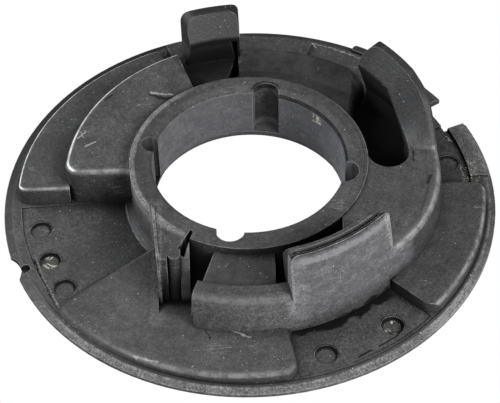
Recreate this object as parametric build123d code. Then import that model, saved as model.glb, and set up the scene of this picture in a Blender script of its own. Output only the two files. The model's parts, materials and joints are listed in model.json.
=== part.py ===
from build123d import *
import math
import os

# Moulded rubber coil spring insulator, one solid.
# Heights are measured from the underside of the flange while the body is built;
# the finished body is then lifted so that the underside of the hub boss is at zero.
# Angles are in degrees around the bore, counter-clockwise seen from above.

# flange and its thin lip
flange_r = 80.0
lip_t = 1.2
lip_in_r = 77.6
deck_h = 2.2
floor_h = 1.8

# hub boss under the flange, bore and collar
bore_r = 31.0
bore_flare = 1.5
bore_flare_h = 2.9
collar_wall = 7.2
collar_r = bore_r + collar_wall
collar_h = 18.5
crease_in = 3.3
collar_crease_r = bore_r + crease_in
boss_r = collar_r
boss_h = 3.2
collar_dip = 0.6

# half-round notches in the bore wall, the left one narrower
notch_r = 4.4
notch_small_r = 3.1
notch_first = 78.5
notch_ledge_h = 0.4

# hub wall that carries the tabs
hub_r = 61.0
hub_h = 18.0
hub_foot = 1.4
hub_round = 3.0
foot_round = 3.0
pad_edge = 2.2

# barbed tabs
tab_h = 31.6
tab_top = 3.6
barb_h = 7.9
barb_r = 8.7
barb_nose = 1.4
tab_web = 3.6
tab_corner = 4.0

# pads of the outer ring
pad_r = 76.6
pad_corner = 4.5

# left pads
left_pad_r = 59.2
left_pad_h = 16.0
left_pad_from = 113.8
left_pad_aim = -6.0
left_edge = 2.4
left_end_y = -1.9
ramp_r = 74.6
ramp_h = 8.6
ramp_tilt = -3.05
ramp_from = 114.0

# right pad
right_pad_h = 6.3
right_pad_from = -44.0
right_pad_to = -1.0

# front pad
front_pad_h = 6.5
front_pad_tilt = 2.5
front_from = -143.0
front_to = -79.8

# shallow round depressions in the floor
dimple_r = 3.5
dimple_d = 0.7


def at(r, deg):
    return (r * math.cos(math.radians(deg)), r * math.sin(math.radians(deg)))


def section(points):
    # closed outline in the plane through the axis, a third number rounds a corner
    face = Polygon(*[(p[0], p[1]) for p in points], align=None)
    for p in points:
        if len(p) == 3:
            corner = face.vertices().sort_by_distance((p[0], p[1], 0))[0]
            face = fillet(corner, p[2])
    return Plane.XZ * face


def turned(points, a0, a1):
    # the outline swept round the bore from one angle to the other
    body = revolve(section(points), Axis.Z, a1 - a0)
    return Rot(0, 0, a0) * body


def sector(r0, r1, a0, a1, h0, h1, corner=0.0):
    # upright block over a piece of a ring, outer plan corners rounded
    inner = CenterArc((0, 0), r0, a0, a1 - a0)
    outer = CenterArc((0, 0), r1, a0, a1 - a0)
    sides = [Line(at(r0, a0), at(r1, a0)), Line(at(r0, a1), at(r1, a1))]
    face = make_face([inner, outer] + sides)
    if corner > 0:
        for a in (a0, a1):
            spot = at(r1, a) + (0,)
            face = fillet(face.vertices().sort_by_distance(spot)[0], corner)
    return Pos(0, 0, h0) * extrude(face, h1 - h0)


def side_view(points, deg, near=35.0):
    # solid with an outline seen along the radius at the given angle, used to trim a pad
    face = Polygon(*[(p[0], p[1]) for p in points], align=None)
    for p in points:
        if len(p) == 3:
            corner = face.vertices().sort_by_distance((p[0], p[1], 0))[0]
            face = fillet(corner, p[2])
    plane = Plane(origin=(near, 0, 0), x_dir=(0, 1, 0), z_dir=(1, 0, 0))
    return Rot(0, 0, deg) * extrude(plane * face, flange_r - near)


def pad_plan(r1, a0, end_y, corners, aim=-1.0):
    # upright block from a wall that aims at a point on the X axis to an end wall parallel to X
    a1 = 180 + math.degrees(math.asin(-end_y / r1))
    arc = CenterArc((0, 0), r1, a0, a1 - a0)
    walls = [Line(at(r1, a1), (aim, end_y)), Line((aim, end_y), (aim, 0)), Line((aim, 0), at(r1, a0))]
    face = make_face([arc] + walls)
    for a, corner in zip((a0, a1), corners):
        if corner > 0:
            spot = at(r1, a) + (0,)
            face = fillet(face.vertices().sort_by_distance(spot)[0], corner)
    return Pos(0, 0, -10) * extrude(face, 50)


def soft_top(solid, radius, picked):
    # rounds the edges of the highest face whose middle the test picks
    top = solid.faces().sort_by(Axis.Z)[-1]
    return fillet([e for e in top.edges() if picked(e @ 0.5)], radius)


def leaned(solid, hinge, turn):
    # turns a finished pad at a hinge point in its top and cuts it off inside the flange
    return split(hinge * turn * hinge.inverse() * solid, Pos(0, 0, 0.5) * Plane.XY, Keep.TOP)


def block(x0, x1, y0, y1, h0, h1):
    return Pos((x0 + x1) / 2, (y0 + y1) / 2, (h0 + h1) / 2) * Box(x1 - x0, y1 - y0, h1 - h0)


# flange, hub boss and collar as one turned body
crown_h = collar_h - collar_dip
body = turned([
    (bore_r + bore_flare, -boss_h),
    (boss_r, -boss_h),
    (boss_r, 0),
    (flange_r, 0),
    (flange_r, lip_t),
    (lip_in_r, deck_h - 0.3),
    (lip_in_r - 0.5, deck_h),
    (collar_r, deck_h, foot_round),
    (collar_r, collar_h),
    (collar_crease_r, collar_h),
    (bore_r, crown_h),
    (bore_r, bore_flare_h - boss_h),
], 0, 360)

# left pads: high inner one and lower tilted outer one
left_inner = turned([
    (collar_r - 1, 0),
    (left_pad_r + 1.0, 0),
    (left_pad_r + 1.0, left_pad_h),
    (collar_r - 1, left_pad_h),
], left_pad_from, 184)
left_inner &= pad_plan(left_pad_r + 0.2, left_pad_from, left_end_y, (0, 5.0), left_pad_aim)
left_inner = soft_top(left_inner, left_edge, lambda m: m.Y < 0 or math.hypot(m.X, m.Y) > left_pad_r - 2)
ramp = sector(left_pad_r - 1, ramp_r + 1.0, ramp_from, 184, -9, ramp_h)
ramp &= pad_plan(ramp_r + 0.5, ramp_from, left_end_y, (2.5, 2.5))
ramp = soft_top(ramp, 1.4, lambda m: m.Y < 0 or math.hypot(m.X, m.Y) > ramp_r - 2)
ramp = leaned(ramp, Pos(0, 0, ramp_h), Rot(ramp_tilt, 0, 0))
body += left_inner + ramp

# front pad with a gently rising top
front = sector(1, pad_r + 0.1, front_from, front_to, -9, front_pad_h, pad_corner)
front -= Pos(0, 0, -10) * Cylinder(collar_r - 1, 60)
front = soft_top(front, pad_edge, lambda m: m.X > 0 or math.hypot(m.X, m.Y) > pad_r - 3)
front = leaned(front, Pos(at(pad_r, front_to)[0], 0, front_pad_h), Rot(0, -front_pad_tilt, 0))
body += front

# the front pad falls away to the floor in front of the rib
fall = Plane(origin=(-28.6, 0, 0), x_dir=(0, 1, 0), z_dir=(1, 0, 0))
fall *= Polygon((-52.5, 5.0), (-43.0, 1.9), (-38.0, 1.9), (-38.0, 9), (-52.5, 9), align=None)
body -= extrude(fall, 10.0)

# right pad
right = turned([
    (hub_r - 1, 0),
    (pad_r + 0.3, 0),
    (pad_r, right_pad_h, 2.0),
    (hub_r - 1, right_pad_h),
], right_pad_from, right_pad_to)
right &= sector(1, pad_r + 0.3, right_pad_from, right_pad_to, -1, 40, pad_corner)
body += right

# low outer pad behind the far pad and the block behind the rear tab
body += turned([
    (hub_r - 1, 0),
    (pad_r, 0),
    (pad_r - 1, 3.4),
    (hub_r - 1, 4.0),
], 72, 92.8)
body += sector(hub_r - 1, ramp_r, 98, 112.3, 0, 6.0)

# rear pocket floor and the hub wall below the two rear tabs
rear_floor_h = 9.0
body += sector(collar_r - 1, hub_r, 92, left_pad_from + 2.6, 0, rear_floor_h)
body += turned([
    (hub_r - tab_web, 0),
    (hub_r + 0.6, 0),
    (hub_r, 12),
    (hub_r - tab_web, 12),
], 92, left_pad_from + 2.6)

# hub top on the right side, its front part turned about a centre of its own
body += turned([
    (collar_r - 1, 0),
    (hub_r + hub_foot, 0),
    (hub_r, hub_h, hub_round),
    (collar_r - 1, hub_h),
], -1, 16)
bend_x = 15.0
bend_y = -3.3
bend_r = math.sqrt(hub_r ** 2 - 2 * hub_r * bend_x + bend_x ** 2 + bend_y ** 2)
bend = turned([
    (collar_r - 1 - bend_x, 0),
    (bend_r + hub_foot, 0),
    (bend_r, hub_h, hub_round),
    (collar_r - 1 - bend_x, hub_h),
], -75, 15)
body += Pos(bend_x, bend_y, 0) * bend & sector(1, hub_r + 4, -46, 0.3, -1, 40)

# hub wall in front
cup_r = 58.3
cup_in_r = 51.7
cup_from = -108.0
cup = turned([
    (cup_in_r, 0),
    (hub_r + 0.6, 0),
    (hub_r - 0.8, 4.0),
    (cup_r, hub_h, 3.2),
    (cup_in_r, hub_h, 1.0),
], cup_from, -45)
cup &= sector(1, hub_r + 0.6, cup_from, -30, -1, 40, 4.0)
body += cup

# web between the collar and the front wall
web_h = 15.7
web_to_x = 7.3
web = sector(collar_r - 1, cup_in_r + 1, -107, -70, 0, web_h)
body += web & block(-30, web_to_x, -70, 0, -1, 40)

# deep pocket behind the front tab, its two ends parallel
pocket_floor_h = 1.5
pocket_to_x = 28.5
body += sector(collar_r - 1, cup_in_r + 1, -70, -44, 0, hub_h) & block(pocket_to_x, 60, -70, 0, -1, 40)
pocket_ring = sector(collar_r, cup_in_r, -95, -20, pocket_floor_h, 40)
body -= pocket_ring & block(web_to_x, pocket_to_x, -70, 0, 0, 40)

# deep pocket in front of the right tab, round at its lower end
wall_in = 51.6
pocket_end = 2.6
pocket_mid = (wall_in + collar_r) / 2
pocket_w = wall_in - collar_r
spot = at(pocket_mid, pocket_end)
body -= sector(collar_r, wall_in, pocket_end, 60, pocket_floor_h, 40)
body -= Pos(spot[0], spot[1], pocket_floor_h + 20) * Cylinder(pocket_w / 2, 40)

# far pad between the rear tab and the right tab, rolling down into the pocket
far_to = 92.8
far_h = 11.5
far = turned([
    (collar_r - 1, 0),
    (hub_r + 0.6, 0),
    (hub_r, far_h, 1.0),
    (hub_r - 10, far_h - 2.0),
    (collar_r - 1, far_h - 3.0),
], 30, far_to)
far &= side_view([
    (-24.8, 0),
    (flange_r, 0),
    (flange_r, far_h + 5),
    (-23.0, far_h + 0.4, 9.0),
], 72, 10)
body += far


def barbed(r_out, r_foot, thicker):
    # wall, rounded top, inward barb and the undercut below it
    back = r_out + thicker
    return [
        (r_out - tab_web, 1.0),
        (r_foot, 1.0),
        (back - 0.1, tab_h - 2.2),
        (back - 0.4, tab_h - 1.1),
        (back - 1.0, tab_h - 0.3),
        (back - 1.9, tab_h),
        (r_out - tab_top, tab_h, 0.8),
        (r_out - barb_r, tab_h - barb_h, barb_nose),
        (r_out - tab_web, pocket_floor_h + 8.5),
    ]


def corner_cut(deg, way, radius):
    # removes the top corner of a tab outside a quarter circle, way is the side of the body
    face = Pos(way * (radius - 1) / 2, tab_h + (1 - radius) / 2) * Rectangle(radius + 1, radius + 1)
    face -= Pos(way * radius, tab_h - radius) * Circle(radius)
    plane = Plane(origin=(35, 0, 0), x_dir=(0, 1, 0), z_dir=(1, 0, 0))
    return Rot(0, 0, deg) * extrude(plane * face, 40)


# rear tab
rear_a0 = 92.2
rear_a1 = 110.9
rear_tab = turned(barbed(hub_r, hub_r + 0.6, 0.9), rear_a0, rear_a1)
rear_tab -= corner_cut(rear_a0, 1, tab_corner)
rear_tab -= corner_cut(rear_a1, -1, tab_corner + 0.8)
body += rear_tab

# right tab: a barbed part, then a part that loses its barb and runs down to the hub top
right_a1 = 45.0
twist_a1 = 28.0
right_tab = turned(barbed(hub_r, hub_r + 0.6, 0), twist_a1, right_a1)
right_tab -= corner_cut(right_a1, -1, tab_corner + 2.0)
body += right_tab
run = (
    (28.0, tab_h, tab_h - barb_h, 3.6),
    (24.0, tab_h - 0.4, tab_h - barb_h - 2.0, 3.5),
    (20.0, tab_h - 1.0, hub_h + 1.6, 3.3),
    (16.0, tab_h - 2.2, hub_h + 0.5, 3.0),
    (12.0, tab_h - 5.0, hub_h, 2.6),
    (8.0, tab_h - 8.6, hub_h - 0.2, 2.4),
    (4.0, hub_h + 1.2, hub_h - 0.2, 2.2),
    (0.0, hub_h - 0.3, hub_h - 0.4, 2.2),
)
cuts = []
for a, top, nose_h, flat in run:
    nose_r = wall_in + 0.7 * (nose_h - hub_h) / (tab_h - barb_h - hub_h)
    outline = [
        (nose_r, 1.0),
        (hub_r + 0.6, 1.0),
        (hub_r - 0.1, top - 2.2),
        (hub_r - 0.4, top - 1.1),
        (hub_r - 1.0, top - 0.3),
        (hub_r - 1.9, top),
        (hub_r - flat, top - 0.1),
        (nose_r, nose_h),
    ]
    cuts.append(Rot(0, 0, a) * section(outline))
body += loft(cuts)

# undercut below the barb of the right tab, its roof falling with the barb
roof = tab_h - barb_h - 0.5
recess = turned([
    (wall_in - 1, pocket_floor_h),
    (hub_r - tab_web, pocket_floor_h),
    (hub_r - tab_web, pocket_floor_h + 8.5),
    (hub_r - barb_r, roof),
    (wall_in - 1, roof),
], 10, right_a1 + 0.5)
lid = Pos(*at(wall_in, twist_a1 + 2), roof) * Rot(0, 0, twist_a1 + 2) * Rot(27, 0, 0)
body -= split(recess, lid * Plane.XY, Keep.BOTTOM)

# front tab on the hub wall, two ridges along its top, its right end parallel to X
front_out = 54.4
front_a0 = -78.0
front_a1 = -36.0
front_end_y = -35.3
groove_h = 0.7
front_tab = turned([
    (front_out - tab_web, 1.0),
    (cup_r - 2.0, 1.0),
    (cup_r - 2.0, hub_h - 4.0),
    (cup_r + 0.38, hub_h - 3.0),
    (cup_r, hub_h),
    (front_out + 0.5, tab_h - 1.5),
    (front_out, tab_h),
    (front_out - 0.8, tab_h),
    (front_out - 1.2, tab_h - groove_h),
    (front_out - 2.0, tab_h - groove_h),
    (front_out - 2.4, tab_h),
    (front_out - tab_top, tab_h),
    (front_out - barb_r, tab_h - barb_h),
    (front_out - tab_web, pocket_floor_h + 8.5),
], front_a0, front_a1)
front_tab -= corner_cut(front_a0, 1, 2.8)
end_wall = Plane(origin=(0, front_end_y, tab_h), x_dir=(1, 0, 0), z_dir=(0, 13, -3.5))
front_tab = split(front_tab, end_wall, Keep.BOTTOM)
front_tab -= Pos(-10, front_end_y, 0) * corner_cut(0, -1, 2.4)
body += front_tab

# undercut along the foot of the wall below the front tab
body -= turned([
    (hub_r - 3.0, floor_h),
    (hub_r + 3.0, floor_h),
    (hub_r + 3.0, floor_h + 0.8),
    (hub_r - 0.4, floor_h + 2.6),
    (hub_r - 3.0, floor_h + 1.6),
], -79, -45)

# rib beside the black slot: block, half-round pilaster, sloping column and thin fin
rib_x0 = -28.0
rib_x1 = -21.5
rib_end = -41.4
rib_h = collar_h - 0.1
fin_turn = 5.2


def upright(points, x0, x1):
    # outline in the plane of Y and Z, as thick as the two X values say
    plane = Plane(origin=(x0, 0, 0), x_dir=(0, 1, 0), z_dir=(1, 0, 0))
    return extrude(plane * Polygon(*points, align=None), x1 - x0)


corners = [(rib_x0, -50), (rib_x1, -50), (rib_x1, -28), (rib_x0 - 1.8, -21), (rib_x0, -42)]
plan = extrude(Polygon(*corners, align=None), rib_h)
rib_foot = rib_end - 2.7
crack_x = -25.5
for setback, x0, x1 in ((0, -31, crack_x), (1.4, crack_x, rib_x1)):
    side = [(rib_foot + setback, 0), (-20, 0), (-20, rib_h), (rib_end + setback, rib_h)]
    body += upright(side, x0, x1) & plan
pilaster_r = 1.9
lean = math.degrees(math.atan((rib_end - rib_foot) / rib_h))
pilaster = Rot(-lean, 0, 0) * Pos(0, 0, -7.5) * Cylinder(pilaster_r, 19)
pilaster = Pos(rib_x1 - pilaster_r, rib_end + pilaster_r, rib_h) * pilaster
body += split(pilaster, Pos(0, 0, rib_h) * Plane.XY, Keep.BOTTOM)
column = [(-45.0, 0), (-30.0, 0), (-30.0, rib_h), (-33.5, rib_h), (-38.5, 15.4), (-44.6, 3.0)]
body += upright(column, rib_x1 - 0.1, -18.8)
slot = Polygon((-22.4, -37.1), (-20.4, -38.3), (-17.6, -30.8), (-18.3, -29.6), align=None)
body -= Pos(0, 0, 12.0) * extrude(slot, 9.0)
fin = upright([
    (-46.6, 1.9),
    (-40.0, 1.9),
    (-19.0, rib_h - 1.9),
    (-19.0, rib_h + 0.6),
    (-30.0, rib_h + 1.0),
    (-38.5, rib_h + 0.5),
    (-41.0, rib_h - 0.9),
    (-43.4, 11.0),
], rib_x0 - 0.7, rib_x0 + 0.2)
hinge = Pos(rib_x0, rib_end, 0)
body += hinge * Rot(0, 0, fin_turn) * Pos(-rib_x0, -rib_end, 0) * fin

# shallow hollow where the rib top meets the collar
corners = [(-29.6, -19.2), (-28.6, -25.4), (-24.4, -27.9), (-20.6, -26.0), (-25.4, -21.6)]
hollow = extrude(Polygon(*corners, align=None), 4.0)
body -= Pos(-24.4, -27.9, rib_h - 0.1) * Rot(6, -3, 0) * Pos(24.4, 27.9, 0) * hollow

# notches in the bore, closed by a ledge near the bottom
for r, a, size in (
    (bore_r + 0.2, notch_first, notch_r),
    (bore_r + 1.5, notch_first + 87.5, notch_small_r),
    (bore_r + 0.2, notch_first + 180, notch_r),
    (bore_r + 0.2, notch_first + 270, notch_r),
):
    spot = at(r, a)
    body -= Pos(spot[0], spot[1], notch_ledge_h + 20) * Cylinder(size, 40)

# slot at the end of the far pad
slit = Polygon((-2.9, 61), (-9.3, 38.6), (-2.9, 38.6), align=None)
body -= Pos(0, 0, pocket_floor_h) * extrude(slit, 20) & sector(collar_r, 60, 90, 105, 0, 40)

# floor panels between the pads, each a little lower than the deck
body -= sector(collar_r + 2, 74.2, 183, 360 + front_from, floor_h, deck_h + 0.02)
body -= sector(hub_r + 0.6, 76.0, front_to, right_pad_from, floor_h, deck_h + 0.02)
body -= sector(hub_r + 1.6, 72.9, right_pad_to, 24, floor_h - 0.4, deck_h + 0.02)

# dimples in the floor, two of them deeper and worn
dimples = (
    (68.6, -168.5, dimple_d),
    (68.9, -157.2, dimple_d + 0.3),
    (69.5, -146.8, dimple_d),
    (69.8, -71.8, dimple_d),
    (70.2, -52.8, dimple_d + 0.3),
    (67.2, 10.5, dimple_d),
)
for r, a, depth in dimples:
    spot = at(r, a)
    body -= Pos(spot[0], spot[1], floor_h - depth + 2) * Cylinder(dimple_r, 4)

# gap in the rim with a worn edge beside it, raised piece and low lug at the back
body -= sector(71.8, flange_r + 1, 22.2, 32.6, -1, 10)
body -= sector(78.8, flange_r + 1, 32, 46, -1, 10)
body += sector(73.0, flange_r - 1.2, 4, 22.1, 1, deck_h + 0.5)
body += sector(77.2, flange_r, 50, 61, 0.2, 3.2, 1.2)

# bite out of the rim and the pit beside it
bite_r = 7.4
spot = at(flange_r - 1.9 + bite_r, -158.8)
body -= Pos(spot[0], spot[1], 0) * Cylinder(bite_r, 12)
spot = at(77.1, -157.2)
body -= Pos(spot[0], spot[1], deck_h) * Cylinder(1.6, 3.0)

spring_insulator = Pos(0, 0, boss_h) * body
os.makedirs("parts", exist_ok=True)
export_step(spring_insulator, "parts/spring_insulator.step")
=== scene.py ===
import json
import math
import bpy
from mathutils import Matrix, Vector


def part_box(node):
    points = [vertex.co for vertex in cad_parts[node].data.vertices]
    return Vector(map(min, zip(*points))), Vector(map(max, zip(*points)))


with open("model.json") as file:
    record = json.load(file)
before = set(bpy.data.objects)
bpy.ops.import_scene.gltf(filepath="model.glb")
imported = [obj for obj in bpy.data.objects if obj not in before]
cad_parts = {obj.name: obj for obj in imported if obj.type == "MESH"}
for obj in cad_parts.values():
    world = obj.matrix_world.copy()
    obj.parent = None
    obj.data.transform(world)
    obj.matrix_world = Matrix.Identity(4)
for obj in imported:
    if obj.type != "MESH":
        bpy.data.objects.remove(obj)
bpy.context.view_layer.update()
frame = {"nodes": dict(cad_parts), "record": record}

from types import SimpleNamespace

import bpy
from mathutils import Matrix, Vector

part = frame["nodes"]["spring_insulator"]

# radii in millimetres, those of the bore and the flange from the frame
bore_mount = next(mount for mount in frame["record"]["mounts"] if mount["name"] == "bore")
bore_r = bore_mount["dims"]["r_mm"]
high_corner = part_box("spring_insulator")[1]
flange_r = round(high_corner.x * 1000)
collar_r = bore_r + 7.2
hub_r = 61.0
pad_r = 76.6
lip_r = 77.6

# heights in millimetres above the underside of the hub boss
tab_top = round(high_corner.z * 1000)
hub_top = 21.2
collar_top = 21.7
deck_top = 5.4

# spans in degrees round the bore, counter-clockwise from above, with 0 towards +X
tab_from, tab_to = -79, -35
hub_from, hub_to = -110, -74

# notch in the far wall of the bore, its middle seen from above
far_notch = (6.2, 30.6)
notch_r = 4.4

# dimples in the flange: radius and degrees round the bore, and whether chalky bits lie in them
dimple_r = 3.5
dimples = (
    (68.6, -168.5, False),
    (68.9, -157.2, True),
    (69.5, -146.8, False),
    (69.8, -71.8, False),
    (70.2, -52.8, True),
    (67.2, 10.5, False),
)

# single marks seen from above: half a width, then the points that the mark runs through
light_scratches = (
    (0.25, (-55.6, 13.6), (-53.0, 16.6)),
    (0.2, (-55.0, 16.4), (-53.6, 13.8)),
    (0.3, (-52.7, 10.0), (-49.8, 11.8)),
    (0.35, (23.8, 72.6), (24.8, 70.4)),
    (0.15, (22.3, 73.3), (31.7, 69.2), (41.0, 63.6)),
    (0.4, (-32.2, 34.6), (-29.8, 33.8)),
    (0.35, (-29.8, 33.8), (-25.1, 33.2)),
    (0.25, (-5.4, -59.8), (-0.9, -62.2)),
    (0.15, (-36.0, -66.8), (-28.5, -69.6)),
    (0.2, (66.8, 24.8), (68.5, 22.3)),
    (0.07, (-68.3, -25.4), (-66.3, -30.8), (-59.4, -45.8)),
    (0.1, (-24.0, 69.5), (-14.0, 72.2)),
)
dark_cracks = (
    (0.6, (-32.5, 34.0), (-29.8, 32.2)),
    (0.7, (-29.8, 32.2), (-27.1, 31.1)),
    (0.5, (-27.1, 31.1), (-24.8, 32.0)),
    (0.3, (-47.6, 31.2), (-45.0, 33.9)),
    (0.25, (-14.4, -58.6), (-12.9, -61.8)),
    (0.3, (52.8, 2.0), (52.6, -2.4)),
    (0.5, (57.4, -9.0), (56.2, -12.0)),
    (0.22, (-68.9, -25.6), (-66.9, -31.1), (-60.1, -46.3)),
    (0.25, (38.0, -63.6), (44.0, -59.6)),
    (0.3, (31.6, -67.4), (35.4, -65.0)),
)
faint_line = ((0.16, (56.8, 3.4), (56.1, -14.2), (51.7, -28.8), (47.5, -36.0)),)

# colours of the bare rubber, its dust, its wear and its marks, and of the painted light and shade that share
# them
# bare black rubber, which also shows as the painted shade of closed places
clean_rubber = (0.006, 0.006, 0.0065, 1)
# dust grey, also used for painted light on lit faces and edges
dusty_rubber = (0.16, 0.159, 0.161, 1)
bluish_bloom = (0.088, 0.09, 0.102, 1)
# black of cracks and tears, and of painted shade in creases, dimples and under the tab
deep_black = (0.005, 0.005, 0.005, 1)
# grey of the rubbed edges and of the soft painted highlight on rounded rims
worn_grey = (0.30, 0.30, 0.30, 1)
# pale painted highlight on the thin rims
pale_rim = (0.62, 0.62, 0.63, 1)
chalk_grey = (0.42, 0.42, 0.42, 1)
chip_colour = (0.42, 0.41, 0.35, 1)
white = (1, 1, 1, 1)


# one node tree, with a short call for each kind of node it needs
class Sheet:
    def __init__(self, tree):
        self.tree = tree
        tree.nodes.clear()

    def add(self, kind, **props):
        made = self.tree.nodes.new(kind)
        for key, value in props.items():
            setattr(made, key, value)
        return made

    def feed(self, socket, value):
        if isinstance(value, bpy.types.NodeSocket):
            self.tree.links.new(value, socket)
        else:
            socket.default_value = value

    def math(self, op, a, b=0.0, clamp=False):
        made = self.add("ShaderNodeMath", operation=op, use_clamp=clamp)
        self.feed(made.inputs[0], a)
        self.feed(made.inputs[1], b)
        return made.outputs[0]

    def plus(self, a, b):
        return self.math("ADD", a, b)

    def minus(self, a, b):
        return self.math("SUBTRACT", a, b)

    def times(self, *values):
        out = values[0]
        for value in values[1:]:
            out = self.math("MULTIPLY", out, value)
        return out

    def most(self, *values):
        out = values[0]
        for value in values[1:]:
            out = self.math("MAXIMUM", out, value)
        return out

    def more(self, value, *factors):
        # the value plus the product of the factors
        return self.plus(value, self.times(*factors))

    def less(self, value, amount):
        # 1 minus a share of the value
        return self.minus(1.0, self.times(value, amount))

    def spread(self, value, at_zero, at_one):
        # straight line from one number, where the value is 0, to another, where it is 1
        return self.plus(self.times(value, at_one - at_zero), at_zero)

    def capped(self, value, amount=1.0):
        # a share of the value, held between 0 and 1
        return self.math("MULTIPLY", value, amount, True)

    def length(self, x, y):
        return self.math("SQRT", self.plus(self.times(x, x), self.times(y, y)))

    def off(self, value, middle):
        # how far the value is from a number, either way
        return self.math("ABSOLUTE", self.minus(value, middle))

    def step(self, value, zero_at, one_at):
        # 0 on one side and 1 on the other, smooth in between, rising or falling
        made = self.add("ShaderNodeMapRange", interpolation_type="SMOOTHSTEP")
        self.feed(made.inputs["Value"], value)
        rising = zero_at < one_at
        made.inputs["From Min"].default_value = min(zero_at, one_at)
        made.inputs["From Max"].default_value = max(zero_at, one_at)
        made.inputs["To Min"].default_value = 0.0 if rising else 1.0
        made.inputs["To Max"].default_value = 1.0 if rising else 0.0
        return made.outputs[0]

    def between(self, value, low, high, soft):
        # 1 from low to high, and 0 outside them, each end blurred by soft either way
        half = (high - low) / 2
        return self.step(self.off(value, (low + high) / 2), half + soft, half - soft)

    def noise(self, vector, scale, detail=4.0, rough=0.6, distort=0.0):
        made = self.add("ShaderNodeTexNoise")
        self.feed(made.inputs["Vector"], vector)
        made.inputs["Scale"].default_value = scale
        made.inputs["Detail"].default_value = detail
        made.inputs["Roughness"].default_value = rough
        made.inputs["Distortion"].default_value = distort
        return made.outputs["Fac"]

    def cells(self, vector, scale):
        # distance from the nearest of many scattered points
        made = self.add("ShaderNodeTexVoronoi")
        self.feed(made.inputs["Vector"], vector)
        made.inputs["Scale"].default_value = scale
        return made.outputs["Distance"]

    def squeeze(self, vector, scale, turn=0.0):
        made = self.add("ShaderNodeMapping")
        self.feed(made.inputs["Vector"], vector)
        made.inputs["Rotation"].default_value = (0, 0, math.radians(turn))
        made.inputs["Scale"].default_value = scale
        return made.outputs[0]

    def openness(self, reach, samples, closed, clear):
        # 0 where walls crowd the point within a reach in metres, 1 where it stands clear
        made = self.add("ShaderNodeAmbientOcclusion", samples=samples)
        made.inputs["Distance"].default_value = reach
        return self.step(made.outputs["AO"], closed, clear)

    def stroke(self, x, y, start, stop, width, soft=0.25):
        # 1 within a width of the line between two points, seen from above
        dx = stop[0] - start[0]
        dy = stop[1] - start[1]
        size = dx * dx + dy * dy
        px = self.minus(x, start[0])
        py = self.minus(y, start[1])
        along = self.plus(self.times(px, dx / size), self.times(py, dy / size))
        along = self.math("MINIMUM", self.math("MAXIMUM", along, 0.0), 1.0)
        px = self.minus(px, self.times(along, dx))
        py = self.minus(py, self.times(along, dy))
        return self.step(self.length(px, py), width * (1 + soft), width * (1 - soft))

    def strokes(self, x, y, marks):
        # every stretch of every mark in a list
        made = []
        for width, *points in marks:
            for start, stop in zip(points, points[1:]):
                made.append(self.stroke(x, y, start, stop, width))
        return self.most(*made)

    def blend(self, fac, a, b):
        made = self.add("ShaderNodeMix", data_type="RGBA")
        self.feed(made.inputs[0], fac)
        self.feed(made.inputs[6], a)
        self.feed(made.inputs[7], b)
        return made.outputs[2]


# what is known of the shaded point: each function reads what "at" holds and adds to it
# a place such as bore or tab_face is 1 inside that place and 0 outside it


def add_place(s, at):
    # millimetres, degrees round the bore, and the way that the surface faces
    place = s.add("ShaderNodeTexCoord").outputs["Object"]
    at.mm = s.squeeze(place, (1000, 1000, 1000))
    split = s.add("ShaderNodeSeparateXYZ")
    s.feed(split.inputs[0], at.mm)
    at.x, at.y, at.z = split.outputs
    at.radius = s.length(at.x, at.y)
    at.turn = s.math("DEGREES", s.math("ARCTAN2", at.y, at.x))
    at.face = s.add("ShaderNodeNewGeometry").outputs["Normal"]
    way = s.add("ShaderNodeSeparateXYZ")
    s.feed(way.inputs[0], at.face)
    nx, at.ny, at.nz = way.outputs
    at.outward = s.math("DIVIDE", s.plus(s.times(nx, at.x), s.times(at.ny, at.y)), at.radius)

    # the same place unrolled round the bore, for marks that run round it
    rolled = s.add("ShaderNodeCombineXYZ")
    for socket, value in zip(rolled.inputs, (at.turn, at.radius, at.z)):
        s.feed(socket, value)
    at.rolled = rolled.outputs[0]


def add_edges(s, at):
    # rounded edge normal, and how much it differs from the face
    bevel = s.add("ShaderNodeBevel", samples=6)
    bevel.inputs["Radius"].default_value = 0.0005
    at.rounded = bevel.outputs[0]
    dot = s.add("ShaderNodeVectorMath", operation="DOT_PRODUCT")
    s.feed(dot.inputs[0], at.rounded)
    s.feed(dot.inputs[1], at.face)
    at.edge = s.step(dot.outputs["Value"], 0.99, 0.86)
    at.proud = s.openness(0.0016, 6, 0.72, 0.95)

    # painted shade: closed places lose the dust colour and stay black, open ones keep it
    at.open_air = s.openness(0.024, 8, 0.22, 0.82)


def add_noises(s, at):
    # from broad clouds to fine grain, and one that runs round the bore
    at.broad = s.step(s.noise(at.mm, 0.06, 5.0, 0.6), 0.32, 0.68)
    at.patch = s.step(s.noise(at.mm, 0.28, 5.0, 0.65), 0.3, 0.7)
    at.fine = s.noise(at.mm, 0.8, 5.0, 0.72)
    at.grain = s.noise(at.mm, 1.9, 3.0, 0.8)
    at.arcs = s.noise(s.squeeze(at.rolled, (0.05, 1.1, 0.6)), 1.0, 4.0, 0.65, 0.3)
    at.blots = s.noise(s.squeeze(at.mm, (1, 1, 1.6), 20), 0.2, 6.0, 0.7, 0.8)


def add_slopes(s, at):
    # flat tops, all that looks up, steep walls, and the low floors
    at.top = s.step(at.nz, 0.3, 0.95)
    at.upward = s.step(at.nz, 0.2, 0.6)
    at.wall = s.step(at.nz, 0.6, 0.2)
    at.low = s.step(at.z, deck_top + 2.6, deck_top + 0.6)


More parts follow.
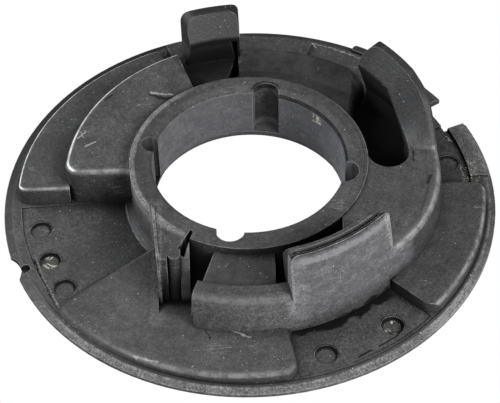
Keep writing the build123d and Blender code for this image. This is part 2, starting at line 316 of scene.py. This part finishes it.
def add_zones(s, at):
    # scuffed front tab and hub wall, the collar, the rim and the bore
    x, y, z, radius, turn = at.x, at.y, at.z, at.radius, at.turn
    outer_hub = (hub_r - 9, hub_r + 1.5)
    tab_face = s.times(s.between(turn, tab_from, tab_to, 2), s.between(radius, *outer_hub, 0.6), at.wall)
    at.tab_face = s.times(tab_face, s.step(z, 9, 15))
    at.hub_face = s.times(
        s.between(turn, hub_from, hub_to, 2), s.between(radius, *outer_hub, 0.6), at.wall, s.step(z, 7, 10)
    )
    collar_skin = (collar_r - 0.6, collar_r + 1.3)
    at.collar_wall = s.times(s.between(turn, -178, -135, 8), s.between(radius, *collar_skin, 0.4), at.wall)
    at.pad_end = s.times(
        s.between(turn, -85, -75, 2), s.step(radius, hub_r - 3, hub_r - 1), s.step(radius, 78, 77)
    )
    at.hub_bar = s.times(s.between(turn, 1, 13, 1), s.between(radius, 42, 58.8, 0.5))
    at.hub_front = s.times(
        s.between(turn, hub_from - 4, hub_to - 2, 2), s.between(radius, hub_r - 11, hub_r + 2, 1)
    )
    at.bore_lip = s.times(
        s.step(radius, bore_r + 1, bore_r + 0.5), s.step(z, collar_top - 1.7, collar_top - 1.1)
    )
    at.front = s.step(y, -20, -60)
    at.lip = s.times(s.between(radius, lip_r, flange_r + 0.2, 0.25), at.front)
    at.bore = s.times(s.step(radius, bore_r + 2.4, bore_r + 1.6), at.wall)
    at.bore_far = s.times(at.bore, s.step(at.ny, -0.2, -0.9))
    at.left_top = s.times(s.step(x, -16, -28), s.between(radius, bore_r - 1, bore_r + 5.3, 0.4), at.top)


def tab_dust(s, at, dust):
    # blotchy face of the front tab, a painted highlight as a pale bead along its top with painted shade just
    # below, and its two pale ends
    z, turn = at.z, at.turn
    middle = s.times(s.between(turn, -59, -50, 4), s.between(z, hub_top - 1.7, hub_top + 3.3, 2.5))
    blotchy = s.spread(s.step(at.blots, 0.42, 0.62), 0.14, 0.44)
    blotchy = s.times(blotchy, s.less(middle, 0.5), s.spread(s.step(z, 12, 22), 0.7, 1.1))
    dust = s.more(dust, at.tab_face, blotchy)
    # painted highlight: a pale bead along the ridge at the top of the tab
    bead = s.times(
        at.tab_face,
        s.between(z, tab_top - 3.6, tab_top - 2.1, 0.8),
        s.between(turn, tab_from + 3, tab_to - 4, 1.5),
    )
    # painted shade in a band just below the bead
    under_bead = s.times(at.tab_face, s.between(z, tab_top - 5.8, tab_top - 4.8, 0.6))
    right_end = s.times(s.step(turn, tab_to - 8.6, tab_to - 7.6), s.step(z, hub_top - 0.7, hub_top + 1.8))
    ends = s.most(right_end, s.step(turn, tab_from + 2.2, tab_from + 1.2))
    at.tab_ends = s.times(at.tab_face, ends, s.step(z, 12, 18))
    dust = s.more(dust, bead, 1.1)
    return s.times(dust, s.less(under_bead, 0.25))


def gathered_dust(s, at):
    # a thin film everywhere, more of it on the scuffed tab and hub walls, the lip and the bore, with painted
    # light on the collar's left wall, a painted highlight along its upper edge at the left, and painted
    # light low on the bore's right side
    x, y, z, radius, turn = at.x, at.y, at.z, at.radius, at.turn
    dust = s.spread(at.top, 0.185, 0.195)
    dust = tab_dust(s, at, dust)
    dust = s.more(dust, at.hub_face, 0.17)
    front_floor = s.times(
        s.between(turn, -80, -44, 2), s.between(radius, hub_r - 1.5, pad_r - 0.1, 0.5), at.low
    )
    dust = s.more(dust, front_floor, 0.07)
    # painted light on the collar's left wall
    dust = s.more(dust, at.collar_wall, 0.2)
    # painted highlight along the collar's upper edge at the left
    left_ring = s.times(
        s.between(radius, collar_r - 1.6, collar_r + 1, 0.4), s.step(x, -14, -28), s.step(z, 15, 19)
    )
    dust = s.more(dust, left_ring, 0.4)
    at.gritty = s.step(s.noise(at.mm, 1.5, 4.0, 0.75), 0.42, 0.62)
    dust = s.more(dust, at.lip, s.spread(at.gritty, 0.12, 0.54))
    lip_line = s.times(s.between(radius, lip_r + 0.3, lip_r + 0.9, 0.2), s.step(y, 30, 10))
    dust = s.more(dust, lip_line, s.times(at.patch, 0.25))
    dust = s.more(dust, at.bore, s.spread(s.step(at.blots, 0.4, 0.58), 0.22, 0.52))
    # painted light on the bore's right side, stronger low down
    bore_right = s.times(at.bore, s.between(turn, -16, 14, 5))
    return s.more(dust, bore_right, s.spread(s.step(z, 14, 6), 0.15, 0.55))


def uneven_dust(s, at, dust):
    # the film broken up by the noises, painted shade that keeps closed places black, pale grit at the torn
    # rim
    x, y, z, radius, turn = at.x, at.y, at.z, at.radius, at.turn
    for noise, least, greatest in ((at.patch, 0.8, 1.2), (at.broad, 0.8, 1.2), (at.fine, -0.1, 2.1)):
        dust = s.times(dust, s.spread(noise, least, greatest))
    dust = s.times(dust, s.spread(s.step(at.grain, 0.28, 0.75), 0.35, 1.65))
    torn = s.times(s.between(turn, 4, 23, 2), s.step(radius, 71.5, 73))
    pale_grit = s.step(s.noise(at.mm, 1.8, 4.0, 0.85), 0.42, 0.68)
    dust = s.more(dust, torn, s.spread(pale_grit, 0.02, 0.57))
    # painted shade: the dust colour fades to bare black where walls crowd the point
    dust = s.times(dust, s.spread(at.open_air, 0.03, 1.0))
    notch_feet = s.times(
        s.between(radius, bore_r + 0.3, bore_r + 5, 0.2), s.between(turn, 70, 87, 1), s.step(z, 7.5, 5.0)
    )
    dust = s.more(dust, notch_feet, 0.3)
    at.far_step = s.times(s.between(x, 20.6, 25, 0.4), s.between(y, 66.4, 73.4, 0.4))
    return s.more(dust, at.far_step, s.step(at.nz, 0.9, 0.6), 0.3)


def wiped_dust(s, at, dust):
    # painted shade on the far pad, the web, the seam, the far tab's upper part, the rims away from the
    # front, the pocket behind the far tab, the bore's far wall, the left pad's top beside the taller pad's
    # flank, the floor at the collar's foot and where the far pad falls into the pocket; a darker rib, right
    # tab top and collar top at the left, a paler rim at the right, a gritty fin
    x, y, z, radius, turn = at.x, at.y, at.z, at.radius, at.turn
    hub_ring = (collar_r - 0.2, hub_r + 1)
    far_side = s.times(s.between(turn, 40, 91, 3), s.between(radius, *hub_ring, 1))
    at.web = s.times(s.between(turn, hub_from + 3, hub_to + 4, 2), s.between(radius, 38.5, 51.5, 0.5))
    seam = s.times(
        s.between(radius, pad_r, lip_r, 0.25), s.between(turn, -146, -4, 2), s.step(z, 6.6, 6.0)
    )
    far_tab = s.times(s.between(turn, 90, 113, 1), s.step(z, 22, 25))
    far_rim = s.times(s.step(radius, lip_r - 0.8, lip_r), s.minus(1.0, at.front))
    left_rim = s.times(far_rim, s.step(x, 0, -30))
    right_rim = s.times(s.step(radius, lip_r - 0.8, lip_r), s.step(x, 50, 62))
    rib = s.times(s.between(turn, -141, -110, 2), s.between(radius, 38.6, 56, 0.4), s.step(z, 7, 10))
    right_tab = s.times(s.between(turn, 0, 66, 3), s.step(z, 21, 24))
    beside = s.times(s.between(turn, 112, 181, 1), s.step(radius, 67, 60.5), s.step(radius, 58.5, 59.2))
    left_turn = s.most(s.step(turn, 150, 170), s.step(turn, -140, -165))
    foot = s.times(left_turn, s.step(radius, 51, 39), s.step(z, 9, 6.5))
    fin = s.times(s.between(x, -31.2, -27.2, 0.3), s.between(y, -56, -17, 1), s.step(z, 6, 10))
    rib = s.times(rib, s.less(fin, 1.0))
    # painted shade on the rim beside the left pads; the rib and the right tab's top darker
    dust = s.times(dust, s.less(left_rim, 0.75), s.less(rib, 0.35), s.less(right_tab, 0.5))
    dust = s.more(dust, fin, at.gritty, 0.45)
    # painted shade on the left pad's top beside the taller pad's flank and on the floor at the collar's
    # foot; the rim at the right paler
    dust = s.times(dust, s.less(beside, 0.55), s.less(foot, 0.5), s.spread(right_rim, 1.0, 2.6))
    behind = s.times(s.between(turn, 90, 116, 1), s.between(radius, 38, 58, 1), s.step(z, 22, 20))
    # painted shade on the far pad, on the web and in the seam's groove
    dust = s.times(dust, s.less(far_side, 0.7), s.less(at.web, 0.35), s.less(seam, 0.9))
    # painted shade on the far tab's upper part, the rims away from the front, the pocket behind the far tab
    # and the bore's far wall
    dust = s.times(
        dust, s.less(far_tab, 0.8), s.less(far_rim, 0.45), s.less(behind, 0.5), s.less(at.bore_far, 0.5)
    )
    # painted shade where the far pad falls into the pocket; the collar's top at the left darker; streaks
    # round the bore
    deeper = s.times(
        s.step(turn, 74, 50), s.between(turn, 25, 91, 3), s.between(radius, *hub_ring, 1), s.step(z, 19, 17)
    )
    return s.times(dust, s.less(at.left_top, 0.35), s.less(deeper, 0.7), s.spread(at.arcs, 0.6, 1.4))


def add_tab_shadows(s, at):
    # black band with a ragged edge at the foot of the front tab, and the groove along its top
    z, radius, turn = at.z, at.radius, at.turn
    ragged = s.times(s.noise(s.squeeze(at.rolled, (0.2, 0.25, 0.25)), 1.0, 2.0, 0.4), 6.5)
    ragged = s.plus(ragged, s.step(turn, -50, -76))
    undercut = s.times(s.between(turn, tab_from + 2, tab_to - 10, 1.5), s.step(radius, 56.7, 57.3))
    undercut = s.times(undercut, s.step(s.plus(radius, ragged), 65.6, 64.4))
    at.undercut = s.times(undercut, s.step(s.plus(z, ragged), 11.8, 11.0), s.step(at.nz, -0.6, -0.2))
    at.tab_groove = s.times(
        s.between(turn, tab_from + 1, tab_to - 1, 1),
        s.between(radius, 52.2, 54.6, 0.3),
        s.step(z, tab_top - 2, tab_top - 1),
    )


def add_rubbed_edges(s, at):
    # sharp edges rubbed grey, painted highlight on the rounded rims of the pads, and painted shade that
    # keeps creases black
    z, turn = at.z, at.turn
    at.rubbed = s.step(s.noise(at.mm, 0.22, 5.0, 0.7), 0.38, 0.6)
    sharp = s.times(at.edge, at.proud, s.spread(at.rubbed, 0.15, 0.75))
    below_tabs = s.times(s.step(z, hub_top + 0.8, hub_top + 0.3), s.step(z, deck_top + 1, deck_top + 2))
    # painted highlight: a thin pale line on the rounded rims, broken by wear
    thin_rim = s.times(s.between(at.nz, 0.70, 0.90, 0.05), below_tabs, s.spread(at.rubbed, 0.5, 1.0))
    thin_rim = s.times(thin_rim, s.spread(s.step(at.outward, 0.1, 0.4), 0.12, 0.97))
    right_side = s.times(s.between(turn, -46, 20, 3), at.rubbed, 0.12)
    left_side = s.times(s.most(s.step(turn, 110, 114), s.step(turn, -176, -179)), s.step(at.x, -4, -12))
    at.thin_rim = s.times(thin_rim, s.most(left_side, right_side))
    # painted highlight: a soft sheen on the rounded rims
    soft_rim = s.times(s.between(at.nz, 0.45, 0.93, 0.12), below_tabs, s.spread(at.rubbed, 0.1, 0.35))
    soft_rim = s.times(soft_rim, s.less(at.pad_end, 0.7), s.less(at.hub_bar, 0.9), s.less(at.hub_front, 0.5))
    # rubbed edges together with the soft painted highlight, fading in closed places
    worn = s.times(s.most(sharp, soft_rim), at.open_air)
    tab_edges = s.times(
        at.edge,
        at.proud,
        s.step(z, 12, 17),
        s.step(at.radius, 51, 52.5),
        s.between(turn, tab_from - 3, tab_to + 1, 1),
    )
    tab_edges = s.times(tab_edges, s.spread(at.rubbed, 0.4, 1.1))
    tab_edges = s.most(tab_edges, s.times(at.tab_ends, at.gritty, 0.7))
    at.worn = s.times(s.most(worn, tab_edges), s.less(at.bore_lip, 0.7), s.less(at.far_step, 1.0))
    # painted shade: creases stay black
    at.crease = s.times(at.edge, s.minus(1.0, at.proud), s.less(at.far_step, 1.0))


def add_scattered_marks(s, at):
    # specks, crumbs and hair-thin scratches
    specks = s.step(s.cells(at.mm, 0.22), 0.055, 0.03)
    crumbs = s.times(s.step(s.cells(at.mm, 0.6), 0.10, 0.06), s.step(s.noise(at.mm, 0.05, 3.0), 0.52, 0.6))
    hair = s.noise(s.squeeze(at.mm, (0.05, 1.3, 1.3), 40), 1.0, 2.0, 0.5, 0.4)
    hair = s.times(s.step(s.off(hair, 0.5), 0.008, 0.002), s.step(s.noise(at.mm, 0.13, 2.0), 0.62, 0.7))
    web_bits = s.times(at.web, s.step(s.cells(at.mm, 0.45), 0.09, 0.05))
    at.marks = s.times(s.most(specks, crumbs, hair, web_bits), at.open_air, 0.6)


def add_single_marks(s, at):
    # scratches and cracks with a wavering line
    waver = s.times(s.minus(s.noise(at.mm, 0.9, 3.0), 0.5), 1.6)
    x = s.plus(at.x, waver)
    y = s.plus(at.y, waver)
    faint = s.times(s.strokes(x, y, faint_line), at.upward, at.rubbed, 0.7)

    # ragged tear at the top of the far notch, torn skin along the bore edge, and painted shade along the
    # collar's crest
    away = s.length(s.minus(x, far_notch[0]), s.minus(y, far_notch[1]))
    notch_ring = s.between(away, notch_r - 0.3, notch_r + 0.9, 0.3)
    notch_tear = s.times(notch_ring, s.step(at.y, 31.5, 33), s.step(at.z, 19, 20))
    bore_tear = s.times(
        at.bore_lip, s.between(at.turn, -3, 77, 1), s.step(s.noise(at.rolled, 0.35, 3.0), 0.26, 0.34)
    )
    # painted shade: a thin dark line in the crease along the collar's crest
    crest = s.times(
        s.between(at.radius, collar_r - 1.3, collar_r - 1, 0.12),
        s.between(at.turn, -12, 42, 2),
        s.step(at.z, 19, 20),
        0.6,
    )
    at.tears = s.most(notch_tear, bore_tear, crest, faint)
    at.chalk = s.times(s.strokes(x, y, light_scratches), at.upward, 0.35)
    at.cracks = s.times(s.strokes(x, y, dark_cracks), at.upward)


def add_dimples(s, at):
    # shaded crescent in each dimple, chalky bits in some of them
    crescents = []
    chips = []
    for r, degrees, has_bits in dimples:
        px = s.minus(at.x, r * math.cos(math.radians(degrees)))
        py = s.minus(at.y, r * math.sin(math.radians(degrees)))
        away = s.length(px, py)
        ring = s.between(away, dimple_r - 0.9, dimple_r + 0.5, 0.3)
        crescents.append(s.times(ring, s.step(s.more(py, px, 0.3), -1.0, 1.6)))
        if has_bits:
            flakes = s.off(s.noise(at.mm, 0.22, 2.0, 0.5, 1.2), 0.5)
            chips.append(s.times(s.step(away, 2.9, 2.2), s.step(flakes, 0.03, 0.01), at.upward))

    # chips high on the bore's wall at the far right, and curls beside the torn rim
    high_in_bore = (s.between(at.turn, 38, 46, 1), s.between(at.z, 16.0, 19.6, 0.6))
    chips.append(s.times(at.bore, *high_in_bore, s.step(s.noise(at.mm, 0.8, 4.0, 0.7), 0.5, 0.56)))
    curls = s.step(s.off(s.noise(at.mm, 0.6, 2.0, 0.5, 1.0), 0.5), 0.018, 0.006)
    by_the_rim = (s.between(at.turn, 1, 9, 1), s.between(at.radius, 70.6, 76, 0.5))
    chips.append(s.times(curls, *by_the_rim, at.upward))
    at.crescents = s.times(s.most(*crescents), s.step(at.nz, -0.6, -0.2))
    at.chips = s.times(s.most(*chips), 0.75)


def layered_colour(s, at):
    # dust with painted light and shade over bare rubber, then black cracks and tears with painted shade in
    # creases, dimples and under the tab, grey wear with a painted highlight, the pale painted rim highlight,
    # chalk and chips
    colour = s.blend(s.capped(at.dust), clean_rubber, dusty_rubber)
    bloom = s.times(s.most(at.bore, s.times(at.tab_face, 0.8)), 0.45)
    colour = s.blend(bloom, colour, bluish_bloom)
    under_tab = (s.times(at.undercut, 1.15), s.times(at.tab_groove, 0.9))
    # black: cracks and tears, with painted shade in creases, dimples, the collar's crest and under the tab
    at.black = s.most(at.crease, at.cracks, at.tears, at.crescents, *under_tab)
    colour = s.blend(s.capped(at.black, 0.85), colour, deep_black)
    colour = s.blend(s.capped(at.worn, 0.8), colour, worn_grey)
    colour = s.blend(s.times(at.thin_rim, at.open_air, 0.9), colour, pale_rim)
    colour = s.blend(s.capped(s.most(at.marks, at.chalk)), colour, chalk_grey)
    return s.blend(at.chips, colour, chip_colour)


def rough_normal(s, at):
    # the pitted skin of the rubber
    bump = s.add("ShaderNodeBump")
    s.feed(bump.inputs["Height"], s.plus(s.times(at.fine, 0.6), s.times(at.grain, 0.16)))
    bump.inputs["Strength"].default_value = 0.75
    bump.inputs["Distance"].default_value = 0.0005
    s.feed(bump.inputs["Normal"], at.rounded)
    return bump.outputs[0]


def rubber():
    made = bpy.data.materials.new("rubber")
    made.use_nodes = True
    s = Sheet(made.node_tree)
    at = SimpleNamespace()
    for describe in (add_place, add_edges, add_noises, add_slopes, add_zones):
        describe(s, at)
    at.dust = wiped_dust(s, at, uneven_dust(s, at, gathered_dust(s, at)))
    for describe in (add_tab_shadows, add_rubbed_edges, add_scattered_marks, add_single_marks, add_dimples):
        describe(s, at)
    colour = layered_colour(s, at)
    normal = rough_normal(s, at)
    surface = s.add("ShaderNodeBsdfPrincipled")
    s.feed(surface.inputs["Base Color"], colour)
    s.feed(surface.inputs["Roughness"], s.spread(at.dust, 0.5, 0.75))
    # specular level, cut in crowded places and under the black marks as painted shade
    gloss = s.times(at.open_air, s.less(s.capped(at.black), 0.9), 0.3)
    s.feed(surface.inputs["Specular IOR Level"], gloss)
    s.feed(surface.inputs["Normal"], normal)
    out = s.add("ShaderNodeOutputMaterial")
    s.feed(out.inputs["Surface"], surface.outputs[0])
    return made


part.data.materials.clear()
part.data.materials.append(rubber())


# camera, fitted to the photo: its right, down and forward directions, and its place in metres
right = (0.999699029, -0.0181789147, -0.0164735851)
down = (-0.0245318257, -0.735185516, -0.677421911)
ahead = (0.000203653963, 0.677622154, -0.735410209)
eye = (0.0, -0.35761815, 0.38960785)
focal_length = 115.556

lens = bpy.data.cameras.new("camera")
lens.sensor_width = 36.0
lens.lens = focal_length
lens.clip_start = 0.01
camera = bpy.data.objects.new("camera", lens)
rows = [(right[i], -down[i], -ahead[i], eye[i]) for i in range(3)]
camera.matrix_world = Matrix(rows + [(0, 0, 0, 1)])
bpy.context.scene.collection.objects.link(camera)
bpy.context.scene.camera = camera


def lamp(name, spot, aim, width, watts, colour=(1, 1, 1)):
    # a round lamp at a spot, turned to the point that it aims at
    data = bpy.data.lights.new(name, "AREA")
    data.shape = "DISK"
    data.size = width
    data.energy = watts
    data.color = colour
    made = bpy.data.objects.new(name, data)
    made.location = spot
    made.rotation_euler = (Vector(aim) - Vector(spot)).to_track_quat("-Z", "Y").to_euler()
    bpy.context.scene.collection.objects.link(made)


lamp("key", (0.62, -0.52, 0.55), (0, 0, 0.01), 0.50, 16.0, (1.0, 0.99, 0.98))
lamp("front", (-0.15, -0.80, 0.55), (0, -0.01, 0.01), 0.60, 6.0)
lamp("left", (-0.62, 0.20, 0.42), (0, 0, 0), 0.35, 6.5, (0.96, 0.98, 1.0))


def glow(w, strength):
    # even white light at a strength, from all round
    made = w.add("ShaderNodeBackground")
    made.inputs["Color"].default_value = white
    made.inputs["Strength"].default_value = strength
    return made.outputs[0]


def studio():
    # white to the camera, soft grey to the part
    made = bpy.data.worlds.new("studio")
    made.use_nodes = True
    w = Sheet(made.node_tree)
    rays = w.add("ShaderNodeLightPath")
    to_the_part = glow(w, 0.17)
    to_the_camera = glow(w, 1.0)
    pick = w.add("ShaderNodeMixShader")
    w.feed(pick.inputs[0], rays.outputs["Is Camera Ray"])
    w.feed(pick.inputs[1], to_the_part)
    w.feed(pick.inputs[2], to_the_camera)
    out = w.add("ShaderNodeOutputWorld")
    w.feed(out.inputs["Surface"], pick.outputs[0])
    return made


bpy.context.scene.world = studio()
bpy.context.scene.view_settings.view_transform = "Standard"
